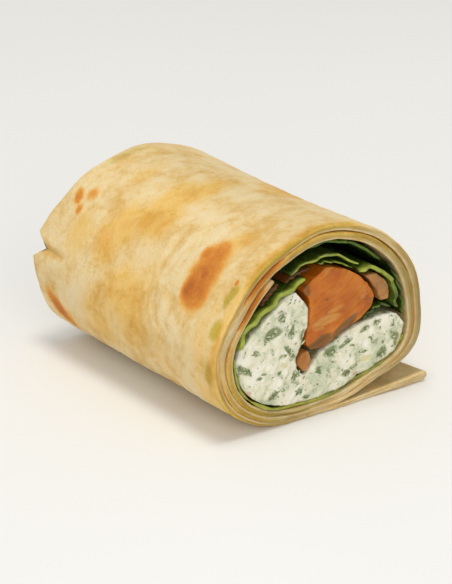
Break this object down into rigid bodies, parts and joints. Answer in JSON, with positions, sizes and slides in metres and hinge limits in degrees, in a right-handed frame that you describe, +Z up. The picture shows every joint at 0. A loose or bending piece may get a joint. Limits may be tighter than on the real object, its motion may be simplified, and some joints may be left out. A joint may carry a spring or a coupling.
{
  "type": "salmon wrap",
  "caption": "Half of a flatbread wrap lying on its side, cut across to show herb cream cheese, salmon and lettuce rolled in a spiral sheet.",
  "frame": {"origin": "on the table under the middle of the part's outer box", "axes": "+X across the roll towards the sheet's free tail, +Y along the roll away from the cut face that shows, +Z up from the table"},
  "size_m": [0.0642, 0.0714, 0.0462],
  "materials": {
    "flatbread": "soft baked flatbread, matt with a faint sheen of oil",
    "cream": "soft fresh cheese, satin and moist",
    "salmon": "moist smoked fish, satin to glossy",
    "dark_salmon": "moist smoked fish in the shade of the roll",
    "lettuce": "crisp leaf, satin",
    "dark_lettuce": "dark leaf, satin"
  },
  "bodies": {
    "root": {"tortilla": "flatbread", "herb_cream": "cream", "salmon_main": "salmon", "salmon_drop": "salmon", "salmon_flake": "salmon", "salmon_sliver_left": "dark_salmon", "salmon_sliver_upper": "dark_salmon", "leaf_top": "dark_lettuce", "leaf_bright": "lettuce", "leaf_inner": "lettuce", "leaf_left": "lettuce", "leaf_right": "lettuce", "leaf_side": "dark_lettuce", "leaf_under": "dark_lettuce", "leaf_lining": "lettuce"}
  },
  "joints": []
}
